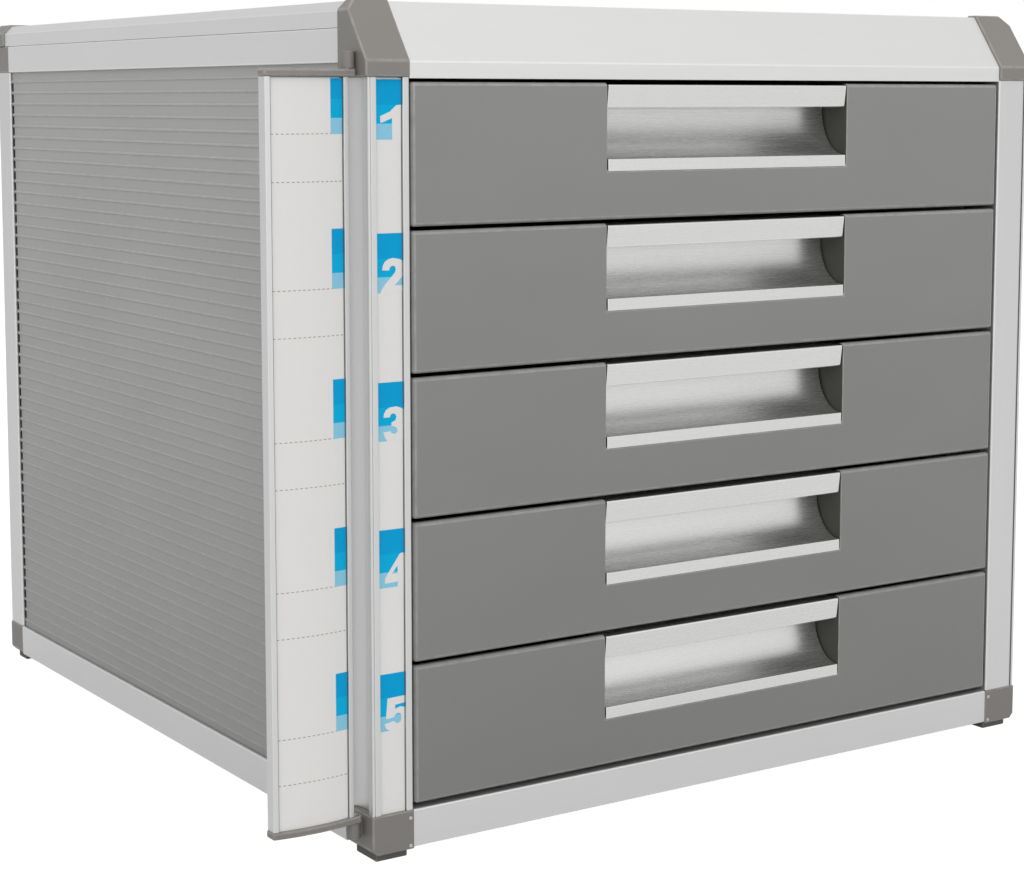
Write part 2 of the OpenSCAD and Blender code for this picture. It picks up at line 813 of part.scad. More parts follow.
panel_skin = 1.2;

module index_panel() color(aluminium) at_corner()
    upright(z_rail, z_post)
        difference() {
            polygon(concat(
                bow_line(panel_x0, panel_x1, 0), [[panel_x1, panel_back], [panel_x0, panel_back]]
            ));
            // the slot for the card: its mouth, then the hollow behind the lips
            bow_band(panel_x0 + panel_lip, panel_x1 - panel_lip, -past, slot_skin + slot_h);
            bow_band(
                panel_x0 + panel_lip - slot_bite, panel_x1 - panel_lip + slot_bite,
                slot_skin, slot_skin + slot_h
            );
            // the open back of the section
            polygon(concat(
                bow_line(panel_x0 + panel_lip, panel_x1 - panel_lip, slot_skin + slot_h + panel_skin),
                [[panel_x1 - panel_lip, panel_back + past], [panel_x0 + panel_lip, panel_back + past]]
            ));
        }

module index_card() color(card_white) at_corner()
    upright(z_rail, z_card_top)
        bow_band(
            panel_x0 + panel_lip - slot_bite + seat_play, panel_x1 - panel_lip + slot_bite - seat_play,
            slot_skin + seat_play, slot_skin + seat_play + card_t
        );

// An arm follows the panel's outline and ends in a round heel on its pin
module hinge_arm(z0)
    upright(z0, z0 + arm_t)
        difference() {
            let (
                face = bow_line(panel_x0 - arm_over, panel_x1, -arm_over),
                toe = face[len(face) - 1].y,
                back = hinge_back + arm_reach
            )
            polygon(concat(
                face,
                [[pivot_x + arm_reach - arm_toe, toe], [pivot_x + arm_reach, toe + arm_toe]],
                arc([pivot_x, hinge_back], arm_reach, arm_reach, 0, 90, 8),
                [[panel_x0 - arm_over, back]]
            ));
            translate([pivot_x, hinge_back]) circle(pin_r);
        }

module index_arm_top() color(fitting_grey) at_corner() hinge_arm(z_post);
module index_arm_bottom() color(fitting_grey) at_corner() hinge_arm(z_arm_low);

// Each pin is pressed into its arm and turns in its boss
pin_l = arm_t + arm_play + boss_h - 2 * pin_blind;

module index_pins() color(steel) at_corner() translate([pivot_x, hinge_back, 0]) {
    translate([0, 0, z_post]) cylinder(r = pin_r, h = pin_l);
    translate([0, 0, z_rail - pin_l]) cylinder(r = pin_r, h = pin_l);
}

post_front_left();
post_front_right();
post_rear_left();
post_rear_right();
bottom_rail_front();
bottom_rail_rear();
bottom_rail_left();
bottom_rail_right();
bottom_corner_front_left();
bottom_corner_front_right();
bottom_corner_rear_left();
bottom_corner_rear_right();
feet();
rail_pins();
crown();
top_rail_left();
top_rail_right();
top_rail_rear();
roof_edge_left();
roof_edge_right();
roof_edge_rear();
top_corner_front_left();
top_corner_front_right();
top_corner_rear_left();
top_corner_rear_right();
roof_cap_left();
roof_cap_right();
roof_sheet();
back_sheet();
base_sheet();
side_sheet_left();
side_sheet_right();
runner_left();
runner_right();
drawer_1_front();
drawer_1_tray();
drawer_1_handle();
drawer_2_front();
drawer_2_tray();
drawer_2_handle();
drawer_3_front();
drawer_3_tray();
drawer_3_handle();
drawer_4_front();
drawer_4_tray();
drawer_4_handle();
drawer_5_front();
drawer_5_tray();
drawer_5_handle();
number_strip();
index_panel();
index_card();
index_arm_top();
index_arm_bottom();
index_pins();
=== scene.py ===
# %% [markdown]
# # A desktop file cabinet with five drawers
# The solids of the cabinet come in as a fixed frame, in metres, and this lesson dresses
# them: every solid is copied, its edges are rounded as a press or a mould rounds them, and
# it gets a finish made of nodes. The copies ride on the bodies of the frame, so drawers
# still slide and the index panel still swings.

import json
import math

import bmesh
import bpy
from mathutils import Matrix, Vector

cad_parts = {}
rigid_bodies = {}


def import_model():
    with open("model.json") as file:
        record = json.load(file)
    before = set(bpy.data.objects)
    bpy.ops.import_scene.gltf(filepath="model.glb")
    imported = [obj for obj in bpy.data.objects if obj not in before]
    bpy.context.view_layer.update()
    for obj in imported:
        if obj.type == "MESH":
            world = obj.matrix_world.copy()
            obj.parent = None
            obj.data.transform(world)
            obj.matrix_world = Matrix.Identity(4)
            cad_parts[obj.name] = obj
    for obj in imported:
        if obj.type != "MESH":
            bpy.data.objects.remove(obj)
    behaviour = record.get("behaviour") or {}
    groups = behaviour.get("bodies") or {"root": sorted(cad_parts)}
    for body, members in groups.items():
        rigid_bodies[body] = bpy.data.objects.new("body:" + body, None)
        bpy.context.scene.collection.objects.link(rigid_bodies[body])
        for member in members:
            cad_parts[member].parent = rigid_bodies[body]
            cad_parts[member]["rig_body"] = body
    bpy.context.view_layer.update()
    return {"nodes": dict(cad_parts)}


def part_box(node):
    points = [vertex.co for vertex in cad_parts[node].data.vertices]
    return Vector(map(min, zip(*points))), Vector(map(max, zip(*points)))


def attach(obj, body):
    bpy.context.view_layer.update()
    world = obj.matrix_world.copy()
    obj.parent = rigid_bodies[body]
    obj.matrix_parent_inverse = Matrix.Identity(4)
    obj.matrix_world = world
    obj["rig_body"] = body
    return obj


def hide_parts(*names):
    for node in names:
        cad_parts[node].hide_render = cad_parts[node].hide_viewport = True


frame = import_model()
MM = 0.001

for leftover in list(bpy.data.objects):
    if leftover.name in ("Cube", "Light", "Camera"):
        bpy.data.objects.remove(leftover)

# %% [markdown]
# ## Colours
# Colours are given on a 0 to 255 scale, the way a paint program shows them, but a
# shader works with amounts of light. This helper turns one into the other.

# %% A colour from paint-program numbers


def tint(red, green, blue):
    """The light amounts of a colour picked on a 0 to 255 scale, with a full alpha."""
    def light(level):
        level = level / 255
        return level / 12.92 if level <= 0.04045 else ((level + 0.055) / 1.055) ** 2.4
    return (light(red), light(green), light(blue), 1.0)


def dimmed(colour, share):
    """The same colour with a share of its light."""
    return (colour[0] * share, colour[1] * share, colour[2] * share, 1.0)


# %% [markdown]
# ## Shader maths as Python
# A finish is a small graph of nodes. Written out by hand, each sum takes four lines, so one
# class wraps a socket and turns +, - and * into Math nodes. A second class keeps the graph
# and has one method that makes any node from its type, its settings and its sockets.

# %% Wires and finishes


class Wire:
    """One output socket of a graph. Arithmetic on it adds Math nodes."""

    def __init__(self, graph, socket):
        self.graph = graph
        self.socket = socket

    def sums(self, operation, first, second):
        return self.graph.node("Math", {"operation": operation}, {0: first, 1: second})

    def __add__(self, other): return self.sums("ADD", self, other)
    def __radd__(self, other): return self.sums("ADD", other, self)
    def __sub__(self, other): return self.sums("SUBTRACT", self, other)
    def __rsub__(self, other): return self.sums("SUBTRACT", other, self)
    def __mul__(self, other): return self.sums("MULTIPLY", self, other)


class Graph:
    """A node tree that is being made, for a material or for the world."""

    def __init__(self, tree):
        self.tree = tree
        tree.nodes.clear()

    def node(self, kind, settings=None, sockets=None, out=0):
        """Adds a node: settings first, then a value or a link for each named socket."""
        made = self.tree.nodes.new("ShaderNode" + kind)
        for name, value in (settings or {}).items():
            setattr(made, name, value)
        for name, value in (sockets or {}).items():
            if isinstance(value, Wire):
                self.tree.links.new(value.socket, made.inputs[name])
            else:
                made.inputs[name].default_value = value
        return Wire(self, made.outputs[out]) if made.outputs else None

    def mixed(self, share, first, second):
        """The first colour where the share is 0 and the second where it is 1."""
        settings = {"data_type": "RGBA"}
        return self.node("Mix", settings, {0: share, 6: first, 7: second}, out=2)

    def place(self, stretch=(1, 1, 1)):
        """Where a point is on its own piece, in metres, stretched along each axis."""
        at = self.node("TexCoord", out=3)
        return self.node("Mapping", {"vector_type": "POINT"}, {"Vector": at, "Scale": stretch})

    def noise(self, scale, detail=2.0, stretch=(1, 1, 1), roughness=0.5):
        """Soft random patches, from 0 to 1, about 1 / scale metres across."""
        sockets = {
            "Vector": self.place(stretch), "Scale": scale, "Detail": detail,
            "Roughness": roughness,
        }
        return self.node("TexNoise", {"noise_dimensions": "3D"}, sockets)

    def spread(self, value, low, high, to_low=0.0, to_high=1.0):
        """A value moved from one range to another, and kept inside it."""
        sockets = {
            "Value": value, "From Min": low, "From Max": high, "To Min": to_low,
            "To Max": to_high,
        }
        return self.node("MapRange", {"clamp": True}, sockets)

    def bump(self, height, depth, strength):
        """A normal that follows a height from 0 to 1, depth metres deep."""
        sockets = {"Height": height, "Distance": depth, "Strength": strength}
        return self.node("Bump", {}, sockets)


def finish(name, recipe):
    """A material whose graph a recipe fills in. The recipe gives the shader's sockets."""
    made = bpy.data.materials.new(name)
    made.use_nodes = True
    graph = Graph(made.node_tree)
    surface = graph.node("BsdfPrincipled", {}, recipe(graph))
    graph.node("OutputMaterial", {}, {"Surface": surface})
    return made


# %% [markdown]
# ## Anodised aluminium
# The posts, rails and roof edges are drawn aluminium: the die leaves hair-fine lines along
# the whole length, and the anodising makes them satin. Noise that is stretched some eighty
# times along the section gives such lines; it drives a little colour, roughness and bump.
# The rounded edges carry a mark called "rim", and there the finish is brighter: partly
# rubbed by wear, partly a painted highlight. Sections near the roof are a shade lighter,
# painted light from above, the crown and the grips lighter still, and the grips, which are
# handled daily, are the smoothest.

# %% A finish for drawn sections
STRETCH = 0.012
ALONG = {"x": (STRETCH, 1, 1), "y": (1, STRETCH, 1), "z": (1, 1, STRETCH)}


def drawn_metal(colour, along, rough=0.4, metallic=0.75, line=0.02, relief=0.2):
    """A recipe for satin aluminium with its drawing lines along one axis."""
    def recipe(graph):
        lines = graph.noise(3000, 3.0, ALONG[along], 0.6)
        bands = graph.noise(700, 2.0, ALONG[along])
        cloud = graph.noise(14, 3.0)
        grit = graph.noise(3800, 2.0)
        rim = graph.node("Attribute", {"attribute_name": "rim"}, out=2)
        # Rim: rubbed by wear, which lowers the roughness, and painted lighter, a painted highlight
        # on the rounded edges.
        rubbed_and_highlit = rim * graph.spread(graph.noise(160, 3.0), 0.3, 0.6, 0.7, 1.0)
        shade = graph.spread(lines * 0.7 + bands * 0.3, 0.3, 0.7)
        base = graph.mixed(shade, dimmed(colour, 1 - line), dimmed(colour, 1 + line))
        base = graph.mixed(graph.spread(cloud, 0.3, 0.7) * 0.5, base, dimmed(colour, 0.97))
        base = graph.mixed(rubbed_and_highlit * 0.7, base, dimmed(colour, 1.15))
        return {
            "Base Color": base,
            "Metallic": metallic,
            "Roughness": rough + graph.spread(lines, 0.3, 0.7, -0.03, 0.04) - rubbed_and_highlit * 0.06,
            "Normal": graph.bump(lines * 0.7 + grit * 0.3, 0.006 * MM, relief),
        }
    return recipe


SECTION = tint(212, 213, 212)
# Painted light: the sections near the roof get a lighter copy of the section colour, as the light
# falls from above.
UPPER_LIT = tint(221, 222, 221)
BRIGHT = tint(226, 226, 225)
metals = {}
for axis in "xyz":
    metals["section_" + axis] = finish("satin-section-" + axis, drawn_metal(SECTION, axis))
for axis in "xy":
    metals["upper_" + axis] = finish("satin-upper-section-" + axis, drawn_metal(UPPER_LIT, axis))
metals["crown"] = finish("bright-section", drawn_metal(BRIGHT, "x"))
metals["grip"] = finish(
    "grip-section", drawn_metal(BRIGHT, "x", rough=0.26, metallic=0.92, relief=0.08)
)
print("metals:", ", ".join(sorted(metals)))

# %% [markdown]
# ## Moulded plastic
# Drawer fronts and corner fittings are injection moulded. The mould is spark eroded, which
# leaves a fine even grain, and handling polishes the grain off the edges; there the colour is
# also painted lighter, a painted highlight. The colour also drifts a little over a large plate,
# where the melt has flowed. Fine noise gives the grain, large noise the drift. Towards the desk
# the colour is painted darker, painted shade for light that falls from above.

# %% A finish for moulded pieces
SHADE_TOP = 0.27  # metres above the desk where the painted shade ends


def moulded(colour, rough=0.52, grain=0.02, drift=0.03, edge=1.3, low=1.0):
    """A recipe for a moulded plastic with a spark-eroded grain.

    Low is the share of its colour that is left at the desk: painted shade, darker towards the
    bottom as the light falls from above."""
    def recipe(graph):
        height = graph.node("SeparateXYZ", {}, {0: graph.place()}, out=2)
        shade_below = graph.spread(height, 0.0, SHADE_TOP, 1.0, 0.0)
        pits = graph.noise(2300, 2.0, roughness=0.6)
        flow = graph.noise(11, 2.0, (1, 1, 2.2))
        dust = graph.spread(graph.noise(900, 4.0), 0.66, 0.74)
        rim = graph.node("Attribute", {"attribute_name": "rim"}, out=2)
        # Rim: worn smoother, and painted lighter by the edge share, a painted highlight on the
        # rounded edges.
        worn_and_highlit = rim * graph.spread(graph.noise(220, 3.0), 0.3, 0.7, 0.25, 1.0)
        base = graph.mixed(
            graph.spread(flow, 0.3, 0.7), dimmed(colour, 1 - drift), dimmed(colour, 1 + drift)
        )
        base = graph.mixed(graph.spread(pits, 0.25, 0.75) * 0.3, base, dimmed(colour, 0.9))
        base = graph.mixed(worn_and_highlit, base, dimmed(colour, edge))
        base = graph.mixed(dust * 0.08, base, dimmed(colour, 1.4))
        # Painted shade: darker towards the desk, as the light falls from above.
        if low < 1:
            base = graph.mixed(shade_below * (1 - low), base, (0, 0, 0, 1))
        return {
            "Base Color": base,
            "Roughness": rough + graph.spread(pits, 0.3, 0.7, -0.05, 0.05) - worn_and_highlit * 0.1,
            "Normal": graph.bump(pits, grain * MM, 0.5),
        }
    return recipe


# Low sets how much painted shade each plastic gets towards the desk.
plastics = {
    "front": finish("front-plastic", moulded(tint(131, 131, 129), edge=1.4, low=0.77)),
    # The cheeks sit back in the grip's recess, and their dark colour is painted shade.
    "cheek": finish("cheek-plastic", moulded(tint(66, 66, 60), rough=0.6, grain=0.015)),
    "fitting": finish(
        "fitting-plastic", moulded(tint(125, 122, 118), 0.44, 0.015, edge=1.45, low=0.85)
    ),
    "sheet": finish("sheet-plastic", moulded(tint(161, 161, 160), 0.42, 0.01, low=0.73)),
    "tray": finish("tray-plastic", moulded(tint(186, 187, 185), rough=0.5)),
    "rubber": finish("foot-rubber", moulded(tint(88, 88, 86), rough=0.75, grain=0.05, edge=1.4)),
}
print("plastics:", ", ".join(sorted(plastics)))

# %% [markdown]
# ## Card, ink and steel
# The number strip and the index card are coated card: nearly flat white with faint fibres
# under a thin gloss. The ink lies on it as a film of its own, so it is made as very thin
# pieces with an ink finish that lets a little of the fibre through. The pins are turned
# steel.

# %% Finishes for card, ink and pins


def coated_card(colour, fibre=0.03, gloss=0.5):
    """A recipe for printed or bare coated card. The gloss is the shader's specular level."""
    def recipe(graph):
        fibres = graph.noise(700, 4.0, (1, 1, 0.35), 0.7)
        blotch = graph.noise(30, 2.0)
        shade = graph.spread(fibres * 0.6 + blotch * 0.4, 0.3, 0.7)
        return {
            "Base Color": graph.mixed(shade, dimmed(colour, 1 - fibre), dimmed(colour, 1 + fibre)),
            "Roughness": 0.5 + graph.spread(blotch, 0.3, 0.7, -0.06, 0.06),
            "Specular IOR Level": gloss,
            "Normal": graph.bump(fibres, 0.01 * MM, 0.4),
        }
    return recipe


papers = {
    "card": finish("coated-card", coated_card(tint(213, 212, 210), 0.012)),
    "deep": finish("ink-deep-blue", coated_card(tint(0, 150, 202), 0.04, 0.1)),
    "mid": finish("ink-mid-blue", coated_card(tint(0, 162, 208), 0.04, 0.1)),
    "pale": finish("ink-pale-blue", coated_card(tint(128, 188, 212), 0.03, 0.2)),
    "rule": finish("ink-grey", coated_card(tint(150, 146, 142), 0.05, 0.2)),
    # Painted shadow for the narrow slots and the post's groove.
    "gap": finish("shaded-gap", coated_card(tint(92, 92, 92), 0.05, 0.1)),
    # Painted shade for the open ends of the side sheets.
    "open": finish("open-end", coated_card(tint(34, 34, 34), 0.05, 0.1)),
}
metals["pin"] = finish(
    "turned-steel", drawn_metal(tint(196, 197, 198), "z", rough=0.3, metallic=1.0)
)
print("papers:", ", ".join(sorted(papers)))

# %% [markdown]
# ## Rounding the edges
# A solid from CAD has knife edges, and nothing real has. Each node's mesh is copied, welded
# and cleaned of the cuts across its flat faces; then a Bevel modifier rounds the edges. It
# also says which faces it made, and they are stored as the "rim" mark that the finishes use
# for wear. A second modifier turns the normals towards the larger faces, so that flat faces
# look flat and long hollow ones stay free of patches.

# %% Whole faces, and cuts through their holes
WELD = 0.002 * MM
FLAT = math.radians(0.6)


def middles_inside(work):
    """Planes through every hole, or foot of a rib, that lies inside a flat face.

    A face can't have a hole, so a seam is left from each hole to the face's outline. Where
    the seam is slanted the rounding slips along it, so upright cuts are made instead."""
    flat = {e for e in work.edges if e.is_manifold and e.calc_face_angle(math.pi) < FLAT}
    planes, seen = set(), set()
    for first in work.faces:
        if first in seen:
            continue
        seen.add(first)
        # All faces that lie in one plane with the first and hang together.
        group = [first]
        for face in group:
            for edge in face.edges:
                for beside in edge.link_faces:
                    if edge in flat and beside not in seen:
                        seen.add(beside)
                        group.append(beside)
        # Their outlines: the longest one runs around the face, the others around holes.
        rim = {edge for face in group for edge in face.edges if edge not in flat}
        loops = []
        while rim:
            loop = [rim.pop()]
            for edge in loop:
                for beside in edge.verts[0].link_edges[:] + edge.verts[1].link_edges[:]:
                    if beside in rim:
                        rim.discard(beside)
                        loop.append(beside)
            loops.append(loop)
        loops.sort(key=lambda loop: sum(edge.calc_length() for edge in loop))
        middles = []
        for loop in loops[:-1]:
            places = [vertex.co for edge in loop for vertex in edge.verts]
            middles.append([
                (min(p[axis] for p in places) + max(p[axis] for p in places)) / 2
                for axis in range(3)
            ])
        # Holes in a row share a cut, so the axis that needs fewer cuts is taken.
        level = [axis for axis in range(3) if abs(first.normal[axis]) < 0.5]
        if middles:
            choices = [{(axis, round(m[axis], 5)) for m in middles} for axis in level]
            planes |= min(choices, key=len)
    return sorted(planes)


# %% A welded copy


def thing_of(name, data):
    """A new object in the scene for a mesh, a lamp or a camera."""
    made = bpy.data.objects.new(name, data)
    bpy.context.scene.collection.objects.link(made)
    return made


def welded_copy(node):
    """A node's mesh as a new object, welded, with its flat faces whole again.

    It is made twice: once to find the holes in flat faces, then with the cuts through them."""
    mesh = bpy.data.meshes.new(node + ".skin")
    work = bmesh.new()
    planes = []
    for cutting in (False, True):
        work.clear()
        work.from_mesh(frame["nodes"][node].data)
        bmesh.ops.remove_doubles(work, verts=work.verts, dist=WELD)
        for axis, place in planes:
            point, across = Vector(), Vector()
            point[axis], across[axis] = place, 1
            everything = list(work.verts) + list(work.edges) + list(work.faces)
            halves = bmesh.ops.bisect_plane(
                work, geom=everything, dist=WELD, plane_co=point, plane_no=across
            )
            for item in halves["geom_cut"]:
                if isinstance(item, bmesh.types.BMEdge):
                    item.seam = True
        bmesh.ops.dissolve_limit(
            work, angle_limit=FLAT, verts=work.verts, edges=work.edges, delimit={"SEAM"}
        )
        if not cutting:
            planes = middles_inside(work)
    work.to_mesh(mesh)
    work.free()
    mesh.validate()
    return thing_of(node + ".piece", mesh)


# %% How much rounding an edge has room for
ROOM_SHARE = 0.42  # two roundings share a face, and a little of it stays flat
COLLINEAR = math.radians(22)


def room_beside(edge):
    """How wide a rounding an edge has room for on its two faces."""
    start, along = edge.verts[0].co, edge.verts[1].co - edge.verts[0].co
    length = along.length
    along.normalize()
    room = math.inf
    for corner in edge.link_loops:
        inward = corner.face.normal.cross(corner.link_loop_next.vert.co - corner.vert.co)
        inward.normalize()
        # The edges that meet this one: the round can't reach past their other ends.
        for beside in (corner.link_loop_prev.edge, corner.link_loop_next.edge):
            shared = next(vertex for vertex in beside.verts if vertex in edge.verts)
            two = beside.other_vert(shared).co - shared.co
            turn = (edge.other_vert(shared).co - shared.co).angle(two, 0.0)
            if COLLINEAR < turn < math.pi - COLLINEAR:
                room = min(room, two.length * math.sin(turn))
        # Corners of the face that stand opposite the edge.
        for vertex in corner.face.verts:
            place = vertex.co - start
            if 0 < place.dot(along) < length and place.dot(inward) > WELD:
                room = min(room, place.dot(inward))
        # Edges of the face that pass opposite the middle of this one.
        middle = start + along * (length / 2)
        for other in corner.face.edges:
            if any(vertex in edge.verts for vertex in other.verts):
                continue
            one, two = ((vertex.co - middle) for vertex in other.verts)
            if one.dot(along) * two.dot(along) < 0:
                share = one.dot(along) / (one.dot(along) - two.dot(along))
                reach = one.lerp(two, share).dot(inward)
                if reach > WELD:
                    room = min(room, reach)
    return ROOM_SHARE * room


# %% Rounding the edges of a piece
SHARP = math.radians(28)


def round_over(piece, radius, steps, wanted=None):
    """Rounds every sharp edge, and marks the round as rim.

    Each edge gets a weight, so that a small step is rounded less than an open corner. A
    function can ask for another radius than the usual one for some edges."""
    mesh = piece.data
    work = bmesh.new()
    work.from_mesh(mesh)
    weight = work.edges.layers.float.new("bevel_weight_edge")
    radii = {}
    for edge in work.edges:
        edge.smooth = True
        if edge.is_manifold and edge.calc_face_angle(0.0) > SHARP:
            radii[edge] = min(wanted(edge) if wanted else radius, room_beside(edge))
    widest = max(radii.values())
    for edge, size in radii.items():
        edge[weight] = size / widest
    for face in work.faces:
        face.smooth = True
    work.to_mesh(mesh)
    work.free()
    mesh.materials.clear()
    for _ in range(2):
        mesh.materials.append(None)
    bevel = piece.modifiers.new("Round", "BEVEL")
    bevel.width = widest
    bevel.segments = steps
    bevel.limit_method = "WEIGHT"
    bevel.use_clamp_overlap = False
    bevel.material = 1
    even = piece.modifiers.new("Even", "WEIGHTED_NORMAL")
    even.mode = "FACE_AREA"
    even.keep_sharp = False
    current = bpy.context.evaluated_depsgraph_get()
    rounded = bpy.data.meshes.new_from_object(piece.evaluated_get(current), depsgraph=current)
    piece.modifiers.clear()
    piece.data = rounded
    rim = rounded.attributes.new("rim", "FLOAT", "FACE")
    rim.data.foreach_set("value", [float(face.material_index) for face in rounded.polygons])
    rounded.polygons.foreach_set("material_index", [0] * len(rounded.polygons))
    rounded.materials.clear()
    return piece


# %% Dressing a node
body_of = {name: thing["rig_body"] for name, thing in frame["nodes"].items()}


def dress(node, material, radius, steps=3, wanted=None):
    """Makes the piece that stands for a node: rounded, finished, and riding where it rides.

    The radius is in millimetres."""
    piece = round_over(welded_copy(node), radius * MM, steps, wanted)
    piece.data.materials.append(material)
    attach(piece, body_of[node])
    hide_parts(node)
    return piece


def dress_all(names, material, radius, steps=3, wanted=None):
    """Dresses several nodes alike, and says how many faces that took."""
    made = [dress(name, material, radius, steps, wanted) for name in names]
    faces = sum(len(piece.data.polygons) for piece in made)
    print(len(made), "pieces in", material.name, "-", faces, "faces")


# %% [markdown]
# ## The frame of sections
# Posts stand, side rails run to the back and the front rail runs across, so each group gets
# the finish with its lines the right way. The edges of a drawn section are broken to about
# a quarter of a millimetre, the crown's a little more, and the bottom rails, which take the
# knocks, are rounded twice as far.

# %% Posts, rails and roof edges
dress_all(
    ["post_front_left", "post_front_right", "post_rear_left", "post_rear_right"],
    metals["section_z"], 0.22,
)
dress_all(["bottom_rail_left", "bottom_rail_right"], metals["section_y"], 0.5, 4)
dress_all(["bottom_rail_front", "bottom_rail_rear"], metals["section_x"], 0.5, 4)
dress_all(
    ["top_rail_left", "top_rail_right", "roof_edge_left", "roof_edge_right"],
    metals["upper_y"], 0.25,
)
dress_all(["top_rail_rear", "roof_edge_rear"], metals["upper_x"], 0.25)
dress("crown", metals["crown"], 0.35)
print("and the crown in", metals["crown"].name)

# %% [markdown]
# ## Corner fittings
# The fittings and caps are moulded, with softer edges than the sections: about half a
# millimetre, so that each carries a thin line of light. Their holes and inner corners are
# formed by steel cores and stay crisp.

# %% Fittings, caps, feet and pins
HOLE_FACET = 0.7 * MM  # an edge shorter than this belongs to the rim of a hole
USUAL, CRISP = 0.6, 0.1


def fitting_radius(edge):
    """Outer corners get the usual radius, while holes and inner corners stay crisp."""
    crisp = edge.calc_length() < HOLE_FACET or not edge.is_convex
    return (CRISP if crisp else USUAL) * MM


dress_all(
    [
        "bottom_corner_front_left", "bottom_corner_front_right", "bottom_corner_rear_left",
        "bottom_corner_rear_right", "top_corner_front_left", "top_corner_front_right",
        "top_corner_rear_left", "top_corner_rear_right", "roof_cap_left", "roof_cap_right",
    ],
    plastics["fitting"], USUAL, 4, fitting_radius,
)
dress_all(["feet"], plastics["rubber"], 0.5)
dress_all(["rail_pins", "index_pins"], metals["pin"], 0.12, 2)

# %% [markdown]
# ## Sheets
# The side and back sheets are extruded with a fine level rib every five millimetres. The
# ribs are in the solid already; a very small rounding is enough for them to catch light.

# %% Sheets, base, roof and runners
ribbed = ["side_sheet_left", "side_sheet_right", "back_sheet"]
dress_all(ribbed, plastics["sheet"], 0.08, 2)
dress_all(["base_sheet", "roof_sheet"], plastics["sheet"], 0.2, 2)
dress_all(["runner_left", "runner_right"], plastics["tray"], 0.25, 2)

# %% [markdown]
# The side sheets are cut a little short at the back. Beside the rear post the openings
# between the ribs show as a row of dark dashes of shade: thin plates with painted shade, one
# between each two ribs.

# %% Open ends of the side sheets
RIB_FIRST, RIB_PITCH, RIB_HALF = 19.3, 4.84, 0.75  # up the sheet, from the desk
RIB_PROUD = 0.45  # how far the ribs stand out of the sheet
OPEN_DEEP, OPEN_THICK = 1.5, 0.04  # an opening's reach along the sheet, and its plate
TOP_MARGIN = 6.0  # no opening this near to the sheet's upper edge


def filled(name, work, material):
    """An object with the faces of a finished BMesh, in one material."""
    mesh = bpy.data.meshes.new(name)
    work.to_mesh(mesh)
    work.free()
    mesh.materials.append(material)
    return thing_of(name, mesh)


def flat_boxes(name, boxes, material, body):
    """One piece made of many thin boxes, each given by its lowest and highest corner."""
    work = bmesh.new()
    for low, high in boxes:
        made = bmesh.ops.create_cube(work, size=1.0)["verts"]
        for vertex in made:
            for axis in range(3):
                vertex.co[axis] = low[axis] if vertex.co[axis] < 0 else high[axis]
    bmesh.ops.recalc_face_normals(work, faces=work.faces)
    made = filled(name, work, material)
    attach(made, body)


rear_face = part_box("post_rear_left")[0].y
valley = (RIB_PITCH - 2 * RIB_HALF) * MM
for side in ("left", "right"):
    low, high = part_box("side_sheet_" + side)
    face = low.x + RIB_PROUD * MM if side == "left" else high.x - RIB_PROUD * MM
    skin = -OPEN_THICK * MM if side == "left" else OPEN_THICK * MM
    openings = []
    z = (RIB_FIRST + RIB_HALF) * MM
    while z + valley < high.z - TOP_MARGIN * MM:
        openings.append((
            (min(face, face + skin), rear_face - OPEN_DEEP * MM, z),
            (max(face, face + skin), rear_face, z + valley),
        ))
        z += RIB_PITCH * MM
    flat_boxes("side_sheet_openings_" + side, openings, papers["open"], "cabinet")
print("opened", len(openings), "ends in each side sheet")

# %% [markdown]
# ## Drawers
# A drawer is three pieces: the moulded front with its two cheeks, the tray behind it, and
# the metal grip set into the front. They ride on the drawer's own body.

# %% Five drawers
DRAWERS = range(1, 6)
PLATE = 3.4  # how thick a front's plate is, before its cheeks start
EDGE, SOFT = 0.45, 1.2  # radii of a front's edges
ABOUT_TOP = 0.1  # an edge this near to a front's top counts as its top edge


def darken_cheeks(front, node):
    """Gives the two cheeks, which reach back behind the plate, a dark colour: painted shade in the
    grip's recess.
    """
    front.data.materials.append(plastics["cheek"])
    plate_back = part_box(node)[0].y + PLATE * MM
    for face in front.data.polygons:
        if face.center.y > plate_back:
            face.material_index = 1


def front_radius(node):
    """A front's own radii: edges running back and the top edge are softer than the others."""
    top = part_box(node)[1].z - ABOUT_TOP * MM

    def wanted(edge):
        one, two = (vertex.co for vertex in edge.verts)
        along = (two - one).normalized()
        if abs(along.y) > 0.9 or (one.z > top and two.z > top):
            return SOFT * MM
        return EDGE * MM
    return wanted


for number in DRAWERS:
    name = f"drawer_{number}_"
    wanted = front_radius(name + "front")
    front = dress(name + "front", plastics["front"], EDGE, 4, wanted)
    darken_cheeks(front, name + "front")
    dress(name + "tray", plastics["tray"], 0.4, 2)
    dress(name + "handle", metals["grip"], 0.18)
print("dressed", len(DRAWERS), "drawers")

# %% [markdown]
# ## Index panel
# The panel hangs on two pins at the cabinet's front left edge. Its section is drawn metal,
# bowed outward, and two lips hold the card. The arms at its ends are moulded.

# %% Panel, arms, card and strip
dress("index_panel", metals["section_z"], 0.2)
dress("index_arm_top", plastics["fitting"], 0.8, 4)
dress("index_arm_bottom", plastics["fitting"], 0.8, 4)
dress("index_card", papers["card"], 0.05, 2)
dress("number_strip", papers["card"], 0.05, 2)
print("dressed the index panel, its arms, the card and the strip")

# %% [markdown]
# ## Print on the strip and the card
# Beside each drawer the strip has a block of three blues with a plain white numeral, and the
# index card has a narrow bar of the same blues and two dashed rules to write on. Ink could
# be painted by a mask in the shader, but its edges would blur. Thin plates, three hundredths
# of a millimetre thick, stay sharp and follow the bow of the card.

# %% A plate of ink
INK = 0.03 * MM


